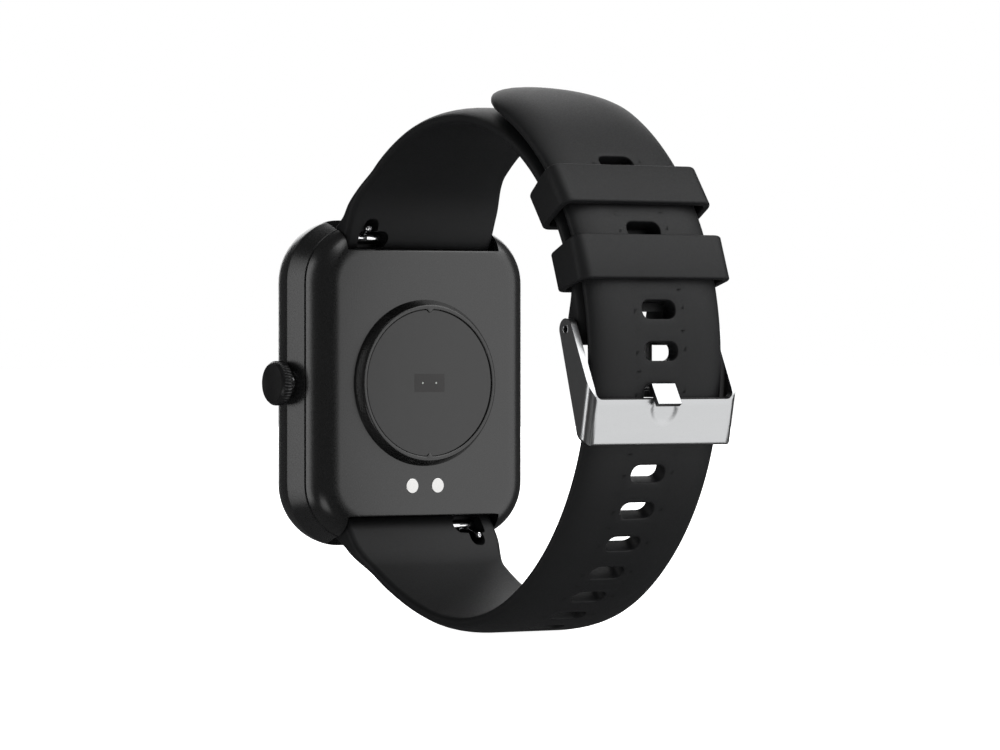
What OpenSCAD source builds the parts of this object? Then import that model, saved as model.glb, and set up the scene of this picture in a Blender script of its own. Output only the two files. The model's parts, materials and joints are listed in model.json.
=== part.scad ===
// Rectangular smartwatch with a push-and-turn crown and a buckled silicone strap.
// Millimetres, +Z to 12 o'clock, +X to the crown, -Y out of the display.
// The origin is the centre of the sensor bump's skin face, so the wrist is at +Y.

/* [Case] */
// Width of the case across its widest line
case_w = 34; // [33.6:0.1:34.4]
// Height of the case from 12 to 6 o'clock
case_h = 41.2; // [40.8:0.1:41.8]
// Thickness from the display glass to the flat rear face
case_t = 10.2; // [10:0.1:10.6]
// Corner radius of the case seen from the front
case_r = 8; // [7:0.25:9]
// Depth of the rear housing, from the rear face to the parting line
rear_depth = 2.7; // [2.5:0.1:2.8]

/* [Sensor bump] */
// Height of the sensor bump above the rear face
bump_h = 1.2; // [1.1:0.1:1.5]
// Radius of the bump where it meets the rear face
bump_base_r = 10.5; // [10.2:0.1:11]
// Radius of the bump's flat rim
bump_rim_r = 9.85; // [9.7:0.05:10]
// Radius of the window inside the rim
window_r = 9.3; // [9.1:0.05:9.4]
// Spacing of the two charging contacts
contact_pitch = 3.8; // [3.6:0.1:4.2]

/* [Crown] */
// Radius of the crown knob
crown_r = 2.8; // [2.5:0.1:3]
// Length of the crown knob
crown_len = 1.6; // [1.6:0.1:2.4]
// Travel of the crown when it is pressed
crown_travel = 0.5; // [0.3:0.05:0.6]

/* [Strap] */
// Width of each strap end inside the case slot
strap_end_w = 22; // [21.6:0.1:22.2]
// Width of both straps at the buckle
strap_w = 18.8; // [18.6:0.1:19.2]
// Thickness of both straps
strap_t = 2; // [1.8:0.05:2.05]
// Distance between neighbouring strap holes
hole_pitch = 4.82; // [4.7:0.02:4.9]
// Number of strap holes
hole_count = 15; // [10:1:15]

/* [Hidden] */
$fn = 96;

// Depths of the case, measured along Y from the skin face
rear_y = -bump_h;
split_y = rear_y - rear_depth;
belly_y = rear_y - 5.5;
front_y = rear_y - case_t;

// The case outline narrows by these amounts away from its widest line
split_inset = 1;
rear_inset = 3.7;
front_inset = 2;

// Strap slots at 12 and 6 o'clock
slot_w = strap_end_w + 0.5;
slot_z = 16.8;
slot_floor_y = rear_y - 6.4;

// Inner spaces of the case
wall = 1.7;
floor_t = 1.1;
glass_t = 1;
glass_w = case_w - 2.6;
glass_h = case_h - 2.6;
cavity_w = case_w - 2 * wall - 1.2;
cavity_h = 31.4;
cavity_floor_y = front_y + 3.4;
plate_y = front_y + 3.5;
board_y = front_y + 4.6;
board_t = 0.7;
screw_x = 11;
screw_z = 12.6;

// Crown axis and tube
crown_y = belly_y;
crown_x = case_w / 2 + crown_travel + 0.1;
stem_r = 0.7;
tube_r = 1.2;
tube_end_x = case_w / 2 + 0.3;
knob_recess = 0.8;
stem_seat = 1.15;
clip_x = 12.4;

// Spring bars
bar_y = rear_y - 3.4;
bar_z = 18.3;
bar_r = 0.75;
tip_r = 0.42;
tip_reach = strap_end_w / 2 + 1.1;
release_travel = 0.95;

// Strap route in the YZ plane: [radius, turn] arcs in order, both tangent
route_start = [rear_y - 4, -18.45, -43];
hole_route = [[42, 30.5], [26.25, 42.5], [33.3, 143]];
wrap = arc_end(route_start, hole_route, 2);
wrap_r = hole_route[2][0];
wrap_c = [wrap[0] - wrap_r * sin(wrap[2]), wrap[1] + wrap_r * cos(wrap[2])];
layer_gap = 0.1;
under_r = wrap_r - strap_t - layer_gap;
pin_r = 0.5;
pin_angle = 6.9;
pin_c = polar(under_r - 1.05, pin_angle);
under_start = [polar(under_r, pin_angle)[0], polar(under_r, pin_angle)[1], pin_angle + 90];
under_route = [[under_r, 29], [27.8, 72], [26.2, 46.4]];
tail_tip_y = rear_y + 23;

// Strap holes, tongue and keepers
first_hole = 34.35;
hole_h = 2.2;
hole_w = 4.7;
tongue_w = 3.4;
keeper_span = 8.7;
keeper_wall = 0.9;
keeper_gap = 0.15;
keeper_slack = 0.5;
keeper_inner_w = strap_w + 1;
fixed_keeper_angle = 20.1;
free_keeper_angle = 36.5;

// Buckle frame
arm_t = 0.85;
arm_x = strap_w / 2 + 0.25;
plate_angle = -12;
plate_len = 5.6;
plate_t = 1;
plate_r = wrap_r + strap_t / 2 + 0.06;

// A point at radius r and angle a about the centre of the strap's main arc
function polar(r, a) = [wrap_c[0] + r * cos(a), wrap_c[1] + r * sin(a)];

// Position and heading after turning through the first n arcs of a route
function arc_end(p, arcs, n, i = 0) =
    i == n ? p : arc_end(arc_step(p, arcs[i][0], arcs[i][1]), arcs, n, i + 1);

// Position and heading after turning by a degrees on radius r
function arc_step(p, r, a) = [
    p[0] + r * (sin(p[2] + a) - sin(p[2])),
    p[1] - r * (cos(p[2] + a) - cos(p[2])),
    p[2] + a
];

// Points along a route, moved sideways by d
function route_points(p, arcs, d) = [
    for (i = [0 : len(arcs) - 1])
        let (q = arc_end(p, arcs, i), n = ceil(arcs[i][1] / 3))
            for (k = [(i == 0 ? 0 : 1) : n])
                let (s = arc_step(q, arcs[i][0], arcs[i][1] * k / n))
                    [s[0] - d * sin(s[2]), s[1] + d * cos(s[2])]
];

// Position and heading at a length s along a route
function route_at(p, arcs, s, i = 0) =
    let (l = arcs[i][0] * arcs[i][1] * PI / 180)
        s <= l || i == len(arcs) - 1
            ? arc_step(p, arcs[i][0], s / arcs[i][0] * 180 / PI)
            : route_at(arc_step(p, arcs[i][0], arcs[i][1]), arcs, s - l, i + 1);

function reversed(v) = [for (i = [len(v) - 1 : -1 : 0]) v[i]];

// Extrudes a YZ outline along X, centred on x = 0
module along_x(w) {
    rotate([90, 0, 90]) linear_extrude(w, center = true) children();
}

// Extrudes an XZ outline along Y from y0 to y1
module along_y(y0, y1) {
    translate([0, y1, 0]) rotate([90, 0, 0]) linear_extrude(y1 - y0) children();
}

// A cylinder along X from x0 to x1 through [y, z]
module x_rod(r, x0, x1, y, z) {
    translate([x0, y, z]) rotate([0, 90, 0]) cylinder(r = r, h = x1 - x0);
}

// A cylinder along Y from y0 to y1 through [x, z]
module y_rod(r, y0, y1, x, z) {
    translate([x, y1, z]) rotate([90, 0, 0]) cylinder(r = r, h = y1 - y0);
}

// An open coil spring along X with its first turn at x = 0
module coil(r, wire_r, length, turns) {
    sides = 6;
    rings = turns * 12;
    pitch = (length - 2 * wire_r) / turns;
    points = [
        for (i = [0 : rings], k = [0 : sides - 1])
            let (a = 30 * i, b = 360 * k / sides, q = r + wire_r * cos(b))
                [wire_r + pitch * i / 12 + wire_r * sin(b), q * cos(a), q * sin(a)]
    ];
    walls = [
        for (i = [0 : rings - 1], k = [0 : sides - 1])
            let (a = i * sides + k, b = i * sides + (k + 1) % sides)
                [a, b, b + sides, a + sides]
    ];
    caps = [[for (k = [sides - 1 : -1 : 0]) k], [for (k = [0 : sides - 1]) rings * sides + k]];
    polyhedron(points, concat(walls, caps));
}

// A rectangle with round corners, centred
module round_rect(w, h, r) {
    square([w - 2 * r, h], center = true);
    square([w, h - 2 * r], center = true);
    for (x = [-1, 1], z = [-1, 1]) translate([x * (w / 2 - r), z * (h / 2 - r)]) circle(r);
}

// One thin layer of the case at depth y, its outline drawn in by d
module case_slice(y, d) {
    along_y(y - 0.01, y) round_rect(case_w - 2 * d, case_h - 2 * d, case_r - d, $fn = 40);
}

// The round-edged outer shape between the display and the parting line
module front_shape() {
    hull() {
        case_slice(split_y, split_inset);
        case_slice(split_y - 1.1, 0.3);
        case_slice(belly_y, 0);
        for (a = [15 : 15 : 60]) {
            case_slice(belly_y - 4.7 * sin(a), front_inset * (1 - cos(a)));
        }
        case_slice(front_y + 0.01, front_inset * 0.75);
    }
}

// The rear housing's outer shape, with a quarter-round edge
module rear_shape() {
    hull() {
        for (a = [0 : 15 : 90]) {
            d = split_inset + (rear_inset - split_inset) * (1 - cos(a));
            case_slice(split_y + 0.01 + (rear_depth - 0.01) * sin(a), d);
        }
    }
}

// The two slots that take the strap ends
module strap_slots() {
    for (s = [-1, 1]) {
        translate([0, (slot_floor_y + 5) / 2, s * (slot_z + 5)]) {
            cube([slot_w, 5 - slot_floor_y, 10], center = true);
        }
    }
}

// Blind holes in the lugs for the spring-bar tips
module tip_holes() {
    for (s = [-1, 1]) {
        x_rod(tip_r + 0.04, -tip_reach - 0.3, tip_reach + 0.3, bar_y, s * bar_z);
    }
}

module front_frame() {
    color("#26272a") difference() {
        front_shape();
        along_y(front_y - 1, front_y + glass_t + 0.15) round_rect(glass_w + 0.1, glass_h + 0.1, 6.75);
        along_y(front_y - 1, cavity_floor_y) round_rect(glass_w - 2.4, glass_h - 3, 5.4);
        along_y(front_y - 1, split_y + 1) round_rect(cavity_w, cavity_h, 4.5);
        along_y(split_y - 0.5, split_y + 1) round_rect(cavity_w + 0.7, cavity_h + 0.7, 4.8);
        strap_slots();
        tip_holes();
        x_rod(tube_r, cavity_w / 2 - 1, case_w, crown_y, 0);
    }
}

module rear_housing() {
    color("#3a3b3d") difference() {
        rear_shape();
        along_y(split_y - 1, rear_y - floor_t) round_rect(cavity_w - 2.4, cavity_h, 3.4);
        strap_slots();
        y_rod(8.4, split_y, rear_y + 1, 0, 0);
        for (x = [-1, 1]) {
            y_rod(0.96, split_y, rear_y + 1, x * contact_pitch / 2, -13);
        }
    }
}

module case_gasket() {
    color("#141414") along_y(split_y - 0.5, split_y) difference() {
        round_rect(cavity_w + 0.7, cavity_h + 0.7, 4.8);
        round_rect(cavity_w - 0.1, cavity_h - 0.1, 4.4);
    }
}

module display_glass() {
    color("#050506") along_y(front_y, front_y + glass_t) round_rect(glass_w, glass_h, 6.7);
}

module display_adhesive() {
    color("#303030") along_y(front_y + glass_t, front_y + glass_t + 0.15) difference() {
        round_rect(glass_w - 0.1, glass_h - 0.1, 6.65);
        round_rect(glass_w - 2.4, glass_h - 3, 5.4);
    }
}

module display_panel() {
    color("#101418") along_y(front_y + glass_t, front_y + glass_t + 1.4) {
        round_rect(glass_w - 3, glass_h - 3.8, 4.8);
    }
}

// Flex from the back of the display, round the battery and onto the board
module display_flex() {
    flex_t = 0.15;
    panel_back_y = front_y + glass_t + 1.4;
    over_y = plate_y + 3.3;
    color("#b06a1e") along_x(8) {
        translate([panel_back_y, -15.3]) square([flex_t, 8]);
        translate([panel_back_y, -15.3]) square([over_y + flex_t - panel_back_y, flex_t]);
        translate([over_y, -15.3]) square([flex_t, 18.5]);
        translate([board_y + board_t, 3.05]) square([over_y - board_y - board_t + flex_t, flex_t]);
        translate([board_y + board_t, 3.05]) square([flex_t, 0.9]);
    }
}

module inner_frame() {
    color("#2e3234") difference() {
        union() {
            difference() {
                along_y(front_y + 2.8, front_y + 7) round_rect(cavity_w - 0.4, cavity_h - 0.4, 4.2);
                along_y(plate_y, front_y + 8) round_rect(cavity_w - 2, cavity_h - 2.4, 3.4);
            }
            for (x = [-1, 1]) y_rod(1.3, plate_y - 0.1, board_y, x * screw_x, screw_z);
        }
        translate([-4.4, front_y + 2, -cavity_h / 2]) cube([8.8, 6, 1.6]);
        x_rod(2.1, cavity_w / 2 - 3, cavity_w, crown_y, 0);
        translate([cavity_w / 2 - 3, crown_y - 2.1, -2.1]) cube([4, 4.2, 4.2]);
        for (x = [-1, 1]) y_rod(0.5, front_y + 2, board_y + 1, x * screw_x, screw_z);
    }
}

module battery() {
    color("#9aa0a4") along_y(plate_y, plate_y + 3.2) {
        translate([-1.8, -5.8]) round_rect(20.6, 16.4, 1);
    }
}

module main_board() {
    color("#1d4a33") along_y(board_y, board_y + board_t) difference() {
        translate([0, 8.5]) round_rect(25.2, 11.2, 1.6);
        for (x = [-1, 1]) translate([x * screw_x, screw_z]) circle(0.55);
        translate([11.3, 3]) square([6, 6], center = true);
    }
}

module shield_can() {
    color("#c2c5c8") difference() {
        translate([-11, board_y + board_t, 4.2]) cube([11, 1.5, 7]);
        translate([-10.8, board_y + board_t - 1, 4.4]) cube([10.6, 2.3, 6.6]);
    }
}

module board_chips() {
    color("#17181a") {
        translate([-9.6, board_y + board_t, 5.4]) cube([5, 0.9, 5]);
        translate([-3.8, board_y + board_t, 6]) cube([2.6, 0.7, 3]);
        translate([1.4, board_y + board_t, 4.4]) cube([2.2, 0.8, 3.4]);
    }
}

module antenna() {
    color("#b98a3a") translate([-7, board_y + board_t, 12.7]) cube([14, 0.3, 1.2]);
}

module vibration_motor() {
    color("#b4b7ba") y_rod(3, board_y + board_t, board_y + 3.4, 8.1, 9.2);
}

module board_screws() {
    color("#d0d2d4") for (x = [-1, 1]) {
        y_rod(0.5, front_y + 3, board_y + board_t, x * screw_x, screw_z);
        y_rod(0.95, board_y + board_t, board_y + board_t + 0.5, x * screw_x, screw_z);
    }
}

module sensor_ring() {
    color("#333436") difference() {
        translate([0, rear_y, 0]) rotate([-90, 0, 0]) {
            cylinder(r1 = bump_base_r, r2 = bump_rim_r, h = bump_h);
        }
        y_rod(window_r + 0.03, rear_y + 0.35, 1, 0, 0);
        y_rod(8.4, rear_y - 1, 1, 0, 0);
    }
}

module sensor_window() {
    color("#3c3d3f") y_rod(window_r, rear_y + 0.35, 0, 0, 0);
}

module sensor_board() {
    color("#1d4a33") along_y(rear_y - 2.3, rear_y - 1.7) union() {
        circle(8);
        translate([0, -10.5]) square([7.4, 9], center = true);
    }
}

module sensor_module() {
    color("#202123") difference() {
        translate([-2.25, rear_y - 1.7, -1.15]) cube([4.5, 1.4, 2.3]);
        for (x = [-1, 1]) translate([x - 0.5, rear_y - 0.9, -0.5]) cube([1, 1, 1]);
    }
}

module sensor_leds() {
    color("#7a7d80") for (x = [-1, 1]) {
        translate([x - 0.35, rear_y - 0.9, -0.35]) cube([0.7, 0.35, 0.7]);
    }
}

module charging_contacts() {
    color("#e8e9ea") for (x = [-1, 1]) {
        y_rod(0.95, rear_y - 1.1, rear_y + 0.05, x * contact_pitch / 2, -13);
        y_rod(0.6, rear_y - 1.7, rear_y - 1.1, x * contact_pitch / 2, -13);
    }
}

module charging_magnets() {
    color("#8d9093") for (x = [-1, 1]) {
        translate([x * 6.6 - 1.6, rear_y - 2.9, -14.4]) cube([3.2, 1.7, 3]);
    }
}

module crown_tube() {
    color("#8e9194") difference() {
        union() {
            x_rod(tube_r, cavity_w / 2 - 0.1, tube_end_x, crown_y, 0);
            x_rod(1.7, cavity_w / 2 - 0.4, cavity_w / 2, crown_y, 0);
        }
        x_rod(stem_r + 0.05, 0, case_w, crown_y, 0);
        x_rod(1, tube_end_x - 1.3, case_w, crown_y, 0);
    }
}

// Side-push switch that the end of the stem presses
module crown_switch() {
    color("#b7babd") {
        translate([9.4, plate_y, -1.8]) cube([1.4, 2.4, 3.6]);
        x_rod(0.6, 10.8, 11.4 - crown_travel - 0.05, crown_y, 0);
    }
}

module crown_stem() {
    color("#c8cacc") difference() {
        x_rod(stem_r, 11.4, crown_x + stem_seat, crown_y, 0);
        difference() {
            x_rod(1, clip_x, clip_x + 0.4, crown_y, 0);
            x_rod(0.5, clip_x - 1, clip_x + 1, crown_y, 0);
        }
    }
}

// Clip behind the tube that stops the stem pulling out
module crown_clip() {
    color("#a9acaf") difference() {
        x_rod(1.5, clip_x + 0.05, clip_x + 0.35, crown_y, 0);
        x_rod(0.53, clip_x - 1, clip_x + 1, crown_y, 0);
    }
}

// Return spring round the tube, between the case and the knob's recess
module crown_spring() {
    color("#c4c6c9") translate([case_w / 2 + 0.07, crown_y, 0]) {
        coil(1.5, 0.11, crown_x + knob_recess - case_w / 2 - 0.12, 2.5);
    }
}

module crown_seal() {
    color("#101010") translate([tube_end_x - 0.45, crown_y, 0]) rotate([0, 90, 0]) {
        rotate_extrude() translate([stem_r + 0.15, 0]) circle(0.13, $fn = 24);
    }
}

module crown_knob() {
    color("#222325") difference() {
        translate([crown_x, crown_y, 0]) rotate([0, 90, 0]) rotate_extrude() polygon([
            [1.9, 0], [crown_r - 0.25, 0], [crown_r, 0.2], [crown_r, crown_len - 0.35],
            [crown_r - 0.35, crown_len], [0, crown_len], [0, stem_seat], [stem_r, stem_seat],
            [stem_r, knob_recess], [1.9, knob_recess]
        ]);
        for (a = [0 : 10 : 350]) {
            translate([crown_x, crown_y, 0]) rotate([a, 0, 0]) translate([-1, 0, crown_r + 0.07]) {
                rotate([0, 90, 0]) cylinder(r = 0.17, h = crown_len + 0.5, $fn = 6);
            }
        }
    }
}

// One half-turned copy for each strap: s = 1 at 12 o'clock, -1 at 6 o'clock
module at_bar(s) {
    translate([0, bar_y, s * bar_z]) rotate([0, s > 0 ? 0 : 180, 0]) children();
}

module bar_tube() {
    difference() {
        x_rod(bar_r, -10.4, 10.4, 0, 0);
        x_rod(tip_r + 0.05, -11, 11, 0, 0);
        translate([6.7, 0, -0.4]) cube([1.9, 2, 1.6]);
    }
}

module bar_tip() {
    x_rod(tip_r, -tip_reach, -3, 0, 0);
}

module bar_spring() {
    translate([-2.95, 0, 0]) coil(0.3, 0.09, 7.9, 10);
}

// Sliding tip with its finger lever, whose knob stands level with the rear face
module release_pin() {
    knob = [8.2, 3.1, 1.1];
    x_rod(tip_r, 5, tip_reach, 0, 0);
    hull() {
        translate([8.2, 0, 0]) sphere(0.22, $fn = 20);
        translate(knob) sphere(0.22, $fn = 20);
    }
    translate(knob) sphere(0.45, $fn = 32);
}

module upper_bar_tube() { color("#cfd1d3") at_bar(1) bar_tube(); }
module lower_bar_tube() { color("#cfd1d3") at_bar(-1) bar_tube(); }
module upper_bar_tip() { color("#cfd1d3") at_bar(1) bar_tip(); }
module lower_bar_tip() { color("#cfd1d3") at_bar(-1) bar_tip(); }
module upper_bar_spring() { color("#b9bcbf") at_bar(1) bar_spring(); }
module lower_bar_spring() { color("#b9bcbf") at_bar(-1) bar_spring(); }
module upper_release_pin() { color("#cfd1d3") at_bar(1) release_pin(); }
module lower_release_pin() { color("#cfd1d3") at_bar(-1) release_pin(); }

// Half the strap's plan outline: wide in the slot, narrow at the buckle
function plan_half(s) = [
    [s * strap_end_w / 2, rear_y - 8], [s * strap_end_w / 2, rear_y - 1],
    [s * 10.4, rear_y + 0.8], [s * 9.9, rear_y + 3], [s * 9.65, rear_y + 9],
    [s * strap_w / 2, rear_y + 22], [s * strap_w / 2, rear_y + 60]
];

module strap_plan(z0, z1) {
    translate([0, 0, z0]) linear_extrude(z1 - z0) polygon(concat(plan_half(1), reversed(plan_half(-1))));
}

// The tail's plan outline, with a half-round tip
module tail_plan(z0, z1) {
    tip_len = 10;
    translate([0, 0, z0]) linear_extrude(z1 - z0) polygon(concat(
        [[strap_w / 2, rear_y + 60]],
        [for (a = [0 : 6 : 180]) [strap_w / 2 * cos(a), tail_tip_y + tip_len * (1 - sin(a))]],
        [[-strap_w / 2, rear_y + 60]]
    ));
}

// Round end of a strap around its spring bar
module strap_head() {
    intersection() {
        x_rod(2.1, -strap_end_w / 2, strap_end_w / 2, 0, 0);
        translate([0, 0, slot_z + 0.15 - bar_z + 5]) cube([30, 10, 10], center = true);
    }
}

// Cut through a strap end for the spring bar, with an open pocket for the lever
module strap_head_cuts() {
    x_rod(bar_r + 0.04, -15, 15, 0, 0);
    translate([5.6, 0, -1.3]) cube([3.8, 8, 2]);
    translate([6.5, 0, -0.2]) cube([2.5, 8, 2.5]);
}

module strap_section(start, arcs) {
    polygon(concat(
        route_points(start, arcs, strap_t / 2),
        reversed(route_points(start, arcs, -strap_t / 2))
    ));
}

// A slot with round ends through the strap, at length s along the route
module strap_hole(s) {
    p = route_at(route_start, hole_route, s);
    translate([0, p[0], p[1]]) rotate([p[2], 0, 0]) {
        for (x = [-1, 1]) translate([x * (hole_w - hole_h) / 2, 0, 0]) {
            cylinder(r = hole_h / 2, h = strap_t + 2, center = true, $fn = 48);
        }
        cube([hole_w - hole_h, hole_h, strap_t + 2], center = true);
    }
}

module hole_strap() {
    color("#202124") difference() {
        intersection() {
            union() {
                along_x(strap_end_w) strap_section(route_start, hole_route);
                at_bar(-1) strap_head();
            }
            union() {
                strap_plan(-40, 0);
                tail_plan(-1, 45);
            }
        }
        at_bar(-1) strap_head_cuts();
        for (i = [0 : hole_count - 1]) strap_hole(first_hole + i * hole_pitch);
    }
}

module buckle_strap() {
    color("#202124") difference() {
        intersection() {
            union() {
                along_x(strap_end_w) strap_section(under_start, under_route);
                at_bar(1) strap_head();
                x_rod(1.85, -strap_w / 2, strap_w / 2, pin_c[0], pin_c[1]);
            }
            strap_plan(-1, 45);
        }
        at_bar(1) strap_head_cuts();
        x_rod(pin_r, -15, 15, pin_c[0], pin_c[1]);
        translate([0, pin_c[0], pin_c[1] - 0.6]) {
            cube([tongue_w + 0.5, 5, 5.4], center = true);
        }
    }
}

// A loop round both strap layers, curved with the strap's main arc
module keeper(angle) {
    inner_r = under_r - strap_t / 2 - keeper_slack;
    outer_r = wrap_r + strap_t / 2 + keeper_gap;
    translate([0, wrap_c[0], wrap_c[1]]) rotate([90, 0, 90]) rotate([0, 0, angle - keeper_span / 2]) {
        rotate_extrude(angle = keeper_span) difference() {
            translate([(inner_r + outer_r) / 2, 0]) {
                round_rect(outer_r - inner_r + 2 * keeper_wall, keeper_inner_w + 2 * keeper_wall, 1.1);
            }
            translate([(inner_r + outer_r) / 2, 0]) {
                square([outer_r - inner_r, keeper_inner_w], center = true);
            }
        }
    }
}

module fixed_keeper() { color("#222326") keeper(fixed_keeper_angle); }
module free_keeper() { color("#222326") keeper(free_keeper_angle); }

module buckle_bar() {
    color("#cfd1d3") x_rod(pin_r, -arm_x - arm_t, arm_x + arm_t, pin_c[0], pin_c[1]);
}

// The flat front plate of the buckle in the YZ plane, clear of the strap
module plate_section() {
    translate(wrap_c) rotate(plate_angle) translate([plate_r, -plate_len / 2]) {
        square([plate_t, plate_len]);
    }
}

module buckle_frame() {
    arm_w = 2;
    dimple_r = 1.9;
    color("#d6d8da") difference() {
        union() {
            along_x(2 * (arm_x + arm_t)) plate_section();
            for (s = [-1, 1]) translate([s * (arm_x + arm_t / 2), 0, 0]) along_x(arm_t) {
                hull() {
                    translate(pin_c) circle(1.15, $fn = 48);
                    translate(wrap_c) rotate(plate_angle) {
                        translate([plate_r + plate_t - arm_w, plate_len / 2 - 1.6]) square([arm_w, 0.4]);
                    }
                }
                translate(wrap_c) rotate(plate_angle) {
                    translate([plate_r + plate_t - 1.9, -plate_len / 2 + 0.6]) square([1.9, plate_len - 1]);
                }
            }
        }
        x_rod(pin_r + 0.04, -15, 15, pin_c[0], pin_c[1]);
        translate([0, wrap_c[0], wrap_c[1]]) rotate([plate_angle, 0, 0]) {
            translate([0, plate_r + plate_t - 0.4, 0]) {
                translate([-dimple_r, 0, dimple_r]) cube([2 * dimple_r, 2, 6]);
                translate([0, 0, dimple_r]) rotate([-90, 0, 0]) cylinder(r = dimple_r, h = 2);
            }
        }
    }
}

// Flat tongue: hooked on the bar, out through a strap hole and over the plate
module buckle_tongue() {
    leg_z = -0.95;
    leg_y = pin_c[0] - 0.35;
    tip_y = pin_c[0] + 4.67;
    color("#dcdee0") difference() {
        union() {
            x_rod(1.05, -tongue_w / 2, tongue_w / 2, pin_c[0], pin_c[1]);
            along_x(tongue_w) {
                translate([leg_y - 0.4, leg_z - 0.4]) square([0.8, pin_c[1] - leg_z]);
                translate([leg_y - 0.4, leg_z - 0.4]) square([tip_y - leg_y + 0.4, 0.8]);
                polygon([
                    [tip_y, 0.3], [tip_y + 1.45, -2.1], [tip_y + 0.89, -2.44], [tip_y - 0.56, -0.04]
                ]);
            }
        }
        x_rod(pin_r + 0.04, -15, 15, pin_c[0], pin_c[1]);
    }
}

front_frame();
rear_housing();
case_gasket();
display_glass();
display_adhesive();
display_panel();
display_flex();
inner_frame();
main_board();
shield_can();
board_chips();
antenna();
battery();
vibration_motor();
board_screws();
sensor_ring();
sensor_window();
sensor_board();
sensor_module();
sensor_leds();
charging_contacts();
charging_magnets();
crown_tube();
crown_switch();
crown_clip();
crown_spring();
crown_stem();
crown_seal();
crown_knob();
upper_bar_tube();
upper_bar_tip();
upper_bar_spring();
upper_release_pin();
lower_bar_tube();
lower_bar_tip();
lower_bar_spring();
lower_release_pin();
buckle_strap();
hole_strap();
fixed_keeper();
free_keeper();
buckle_bar();
buckle_frame();
buckle_tongue();
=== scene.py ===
"""The looks of a rectangular smartwatch with a buckled silicone strap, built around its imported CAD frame."""
import json
import math

import bmesh
import bpy
from mathutils import Matrix, Vector


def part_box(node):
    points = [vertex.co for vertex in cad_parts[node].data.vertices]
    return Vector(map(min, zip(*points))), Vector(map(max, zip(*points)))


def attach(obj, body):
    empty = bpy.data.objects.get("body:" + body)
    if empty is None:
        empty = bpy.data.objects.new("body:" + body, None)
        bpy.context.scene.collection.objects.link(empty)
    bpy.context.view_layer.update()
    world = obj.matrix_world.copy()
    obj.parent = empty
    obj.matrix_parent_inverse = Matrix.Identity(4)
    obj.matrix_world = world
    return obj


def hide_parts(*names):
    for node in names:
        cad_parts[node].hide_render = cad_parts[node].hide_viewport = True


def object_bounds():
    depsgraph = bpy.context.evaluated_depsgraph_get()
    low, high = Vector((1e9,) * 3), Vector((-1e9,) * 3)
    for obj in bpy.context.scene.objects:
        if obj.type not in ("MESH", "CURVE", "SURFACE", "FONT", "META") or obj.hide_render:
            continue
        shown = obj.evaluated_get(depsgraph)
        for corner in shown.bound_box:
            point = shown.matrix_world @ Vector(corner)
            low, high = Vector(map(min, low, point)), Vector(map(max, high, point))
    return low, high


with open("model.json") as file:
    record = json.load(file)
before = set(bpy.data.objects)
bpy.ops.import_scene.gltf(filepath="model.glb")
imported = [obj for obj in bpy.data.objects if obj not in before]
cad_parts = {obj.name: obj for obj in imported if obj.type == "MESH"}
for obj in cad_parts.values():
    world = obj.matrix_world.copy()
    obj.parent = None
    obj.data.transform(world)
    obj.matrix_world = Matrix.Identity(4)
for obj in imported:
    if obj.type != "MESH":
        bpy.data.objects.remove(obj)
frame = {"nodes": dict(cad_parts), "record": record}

CAD_LOW, CAD_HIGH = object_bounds()
MM = 0.001
MERGE = 2e-6
SMOOTH_DEG = 32

JOINTS = {joint["name"]: joint for joint in frame["record"]["behaviour"]["joints"]}


def box_mm(node):
    """A CAD node's low and high corners in mm."""
    low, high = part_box(node)
    return low / MM, high / MM


def joint_centre(name):
    """A hinge's Y and Z in mm."""
    _, y, z = JOINTS[name]["pos_m"]
    return y / MM, z / MM


# ---------------------------------------------------------------- mesh tools


def new_piece(name, verts, faces, slot, smooth_deg=SMOOTH_DEG):
    """A mesh object from points in mm, with merged points and smooth shading up to an angle."""
    mesh = bpy.data.meshes.new(name)
    mesh.from_pydata([tuple(c * MM for c in v) for v in verts], [], faces)
    clean_mesh(mesh)
    return add_object(name, mesh, slot, smooth_deg)


def add_object(name, mesh, slot, smooth_deg):
    """Puts a mesh in the scene with the material of its slot."""
    piece = bpy.data.objects.new(name, mesh)
    bpy.context.scene.collection.objects.link(piece)
    mesh.materials.append(MATERIALS[slot])
    shade(mesh, smooth_deg)
    return piece


def clean_mesh(mesh):
    """Merges points that coincide and turns every face outwards."""
    bm = bmesh.new()
    bm.from_mesh(mesh)
    bmesh.ops.remove_doubles(bm, verts=bm.verts, dist=MERGE)
    bmesh.ops.dissolve_degenerate(bm, edges=bm.edges, dist=MERGE / 2)
    bmesh.ops.recalc_face_normals(bm, faces=bm.faces)
    if bm.calc_volume(signed=True) < 0:
        bmesh.ops.reverse_faces(bm, faces=bm.faces)
    bm.to_mesh(mesh)
    bm.free()


def shade(mesh, smooth_deg):
    """Smooth shading, except at edges sharper than an angle."""
    mesh.polygons.foreach_set("use_smooth", [True] * len(mesh.polygons))
    mesh.set_sharp_from_angle(angle=math.radians(smooth_deg))


def bake(piece):
    """Turns a piece's modifiers into its mesh."""
    depsgraph = bpy.context.evaluated_depsgraph_get()
    mesh = bpy.data.meshes.new_from_object(piece.evaluated_get(depsgraph))
    piece.modifiers.clear()
    piece.data = mesh


def carve(piece, cutters, operation="DIFFERENCE", smooth_deg=SMOOTH_DEG):
    """Cuts or trims a piece with other meshes, which are then deleted."""
    for cutter in cutters:
        modifier = piece.modifiers.new("carve", "BOOLEAN")
        modifier.operation = operation
        modifier.solver = "EXACT"
        modifier.object = cutter
    bake(piece)
    shade(piece.data, smooth_deg)
    for cutter in cutters:
        bpy.data.objects.remove(cutter)


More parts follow.
